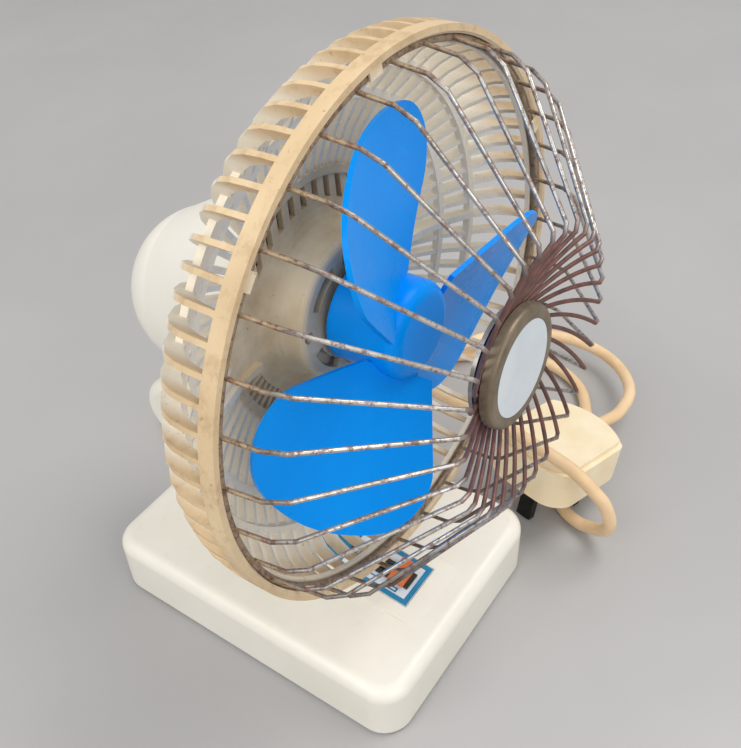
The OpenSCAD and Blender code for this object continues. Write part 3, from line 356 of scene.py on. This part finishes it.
# dark tone, light tone, roughness, and where given the noise's scale, the share of metal and the bump
PLAIN = {
    "dark_plastic": ((34, 33, 33), (52, 50, 50), 0.45),
    "foot_rubber": ((28, 28, 28), (44, 44, 44), 0.8),
    "steel": ((140, 138, 134), (176, 174, 170), 0.32, 220, 1.0),
    "pressed_steel": ((134, 134, 132), (168, 168, 165), 0.4, 160, 1.0),
    "laminations": ((88, 88, 90), (122, 122, 124), 0.5, 260, 0.8),
    "windings": ((150, 84, 40), (186, 112, 58), 0.34, 260, 0.8),
    "bronze": ((160, 132, 76), (196, 168, 106), 0.35, 200, 1.0),
    # pins: brass, coloured near-black as painted shade from the plug that stands on them, over real darkened
    # brass
    "pins": ((30, 29, 30), (50, 48, 47), 0.38, 160, 0.5),
    "label": ((204, 214, 226), (220, 228, 236), 0.35),
    "orange": ((196, 96, 44), (222, 122, 62), 0.36, 90),
    "badge": ((112, 99, 81), (136, 122, 101), 0.40, 130, 0.40, 0.06),
    "badge_face": ((206, 215, 222), (220, 227, 232), 0.36, 40, 0.1),
    "lead": ((228, 194, 150), (240, 210, 170), 0.5, 70, 0.0, 0.05),
    "plug": ((240, 220, 182), (248, 233, 202), 0.38, 50, 0.0, 0.04),
    "switch_brown": ((78, 62, 50), (100, 82, 66), 0.5),
    "terminal": ((206, 204, 196), (226, 224, 216), 0.5),
    "print_blue": ((14, 112, 156), (28, 132, 176), 0.4, 80),
}
MATS = {name: plain(name, *look) for name, look in PLAIN.items()}
MATS.update(ivory=ivory_plastic(), aged=aged_plastic(), guard_wire=guard_wire(), blue=blade_blue())

for row in frame["record"]["subparts"]:
    o = nodes[row["node"]]
    o.data.materials.clear()
    o.data.materials.append(MATS[row["material_slot"]])
lead.data.materials.append(MATS["lead"])


# printing on the marked plate: a blue frame with a broad rear end, and three plain numbers, on thin films
CONSOLE = (-0.005, -0.066, 0.030)               # the console's front edge, from the middle of the base
CONSOLE_SLOPE = math.atan(5 / 60)
FILM_LIFT, FILM_T = 0.00007, 0.00008
LABEL_W, LABEL_L, LABEL_Y = 0.023, 0.053, 0.009
EDGE, BAND, HEADER = 0.0002, 0.0026, 0.0175     # bare edge, and the frame's bands with its rear end
DIGIT_H, DIGIT_W, DIGIT_T = 0.0042, 0.55, 0.16  # height, and width and stroke as shares of it
DIGIT_X, DIGIT_Y, DIGIT_STEP = -0.0082, 0.0164, 0.010
STROKES = {"0": "abcdef", "1": "bc", "2": "abged"}


def on_console(x, y, z):
    """Metres along the console's slope, to the row frame."""
    return Vector((CONSOLE[0] + x,
                   CONSOLE[1] + SHIFT + y * math.cos(CONSOLE_SLOPE) - z * math.sin(CONSOLE_SLOPE),
                   CONSOLE[2] + y * math.sin(CONSOLE_SLOPE) + z * math.cos(CONSOLE_SLOPE)))


def film(name, bars):
    """Flat bars of print lying on the plate."""
    verts, faces = [], []
    for x0, y0, x1, y1 in bars:
        k = len(verts)
        corners = ((x0, y0), (x1, y0), (x1, y1), (x0, y1))
        n = len(corners)
        verts += [on_console(x, y, z) for z in (FILM_LIFT, FILM_LIFT + FILM_T) for x, y in corners]
        faces.append(tuple(range(k + n, k + 2 * n)))
        faces.append(tuple(range(k, k + n))[::-1])
        for i in range(n):
            j = (i + 1) % n
            faces.append((k + i, k + j, k + n + j, k + n + i))
    o = mesh_object(name, verts, faces)
    o.data.materials.append(MATS["print_blue"])
    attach(o, "base")


def label_frame():
    outer, inner = LABEL_W / 2 - EDGE, LABEL_W / 2 - BAND
    front, rear = LABEL_Y + BAND, LABEL_Y + LABEL_L - HEADER
    film("label_frame", [(-outer, LABEL_Y + EDGE, outer, front), (-outer, rear, outer, LABEL_Y + LABEL_L - EDGE),
                         (-outer, front, -inner, rear), (inner, front, outer, rear)])


def digit(text, x, y):
    """Strokes of a plain number, with its top toward the rear."""
    h, w, t = DIGIT_H, DIGIT_H * DIGIT_W, DIGIT_H * DIGIT_T
    bars = {"a": (x, y + h - t, x + w, y + h), "d": (x, y, x + w, y + t),
            "g": (x, y + (h - t) / 2, x + w, y + (h + t) / 2),
            "b": (x + w - t, y + h / 2, x + w, y + h), "c": (x + w - t, y, x + w, y + h / 2),
            "f": (x, y + h / 2, x + t, y + h), "e": (x, y, x + t, y + h / 2)}
    return [bars[s] for s in STROKES[text]]


label_frame()
film("label_marks", [b for k, text in enumerate("012") for b in digit(text, DIGIT_X, DIGIT_Y + DIGIT_STEP * k)])


# floor, light and background
FLOOR = 4                                       # half its side
WORLD_GREY, WORLD_STRENGTH = 0.86, 0.7
# place, height of the point it is turned to, size, power in watts and colour
LIGHTS = {
    "key": ((0.6, -0.5, 1.55), 0.10, 1.0, 12, (1.0, 0.98, 0.94)),
    "fill": ((-1.1, 0.3, 1.1), 0.12, 1.3, 11, (1.0, 0.98, 0.94)),
    "front": ((-0.5, -1.2, 0.9), 0.12, 1.0, 6, (1.0, 0.98, 0.95)),
}


def floor():
    corners = [(-FLOOR, -FLOOR, 0), (FLOOR, -FLOOR, 0), (FLOOR, FLOOR, 0), (-FLOOR, FLOOR, 0)]
    o = mesh_object("floor", corners, [(0, 1, 2, 3)])
    m = Nodes("floor")
    m.set(Base_Color=m.tones(m.noise(5, 3), srgb(168, 167, 168), srgb(175, 174, 174)),
          Roughness=m.rough(30, 0.42, 0.55))
    o.data.materials.append(m.mat)


def area_light(name, place, target_z, size, power, color):
    data = bpy.data.lights.new(name, "AREA")
    data.shape = "DISK"
    data.size, data.energy, data.color = size, power, color
    o = bpy.data.objects.new(name, data)
    scene.collection.objects.link(o)
    o.location = place
    o.rotation_mode = "QUATERNION"
    o.rotation_quaternion = (Vector((0, 0, target_z)) - Vector(place)).to_track_quat("-Z", "Y")


def background():
    world = bpy.data.worlds.new("studio")
    scene.world = world
    world.use_nodes = True
    sky = world.node_tree.nodes["Background"].inputs
    sky["Color"].default_value = (WORLD_GREY, WORLD_GREY, WORLD_GREY, 1)
    sky["Strength"].default_value = WORLD_STRENGTH


floor()
for name, light in LIGHTS.items():
    area_light(name, *light)
background()
scene.view_settings.view_transform = "Standard"
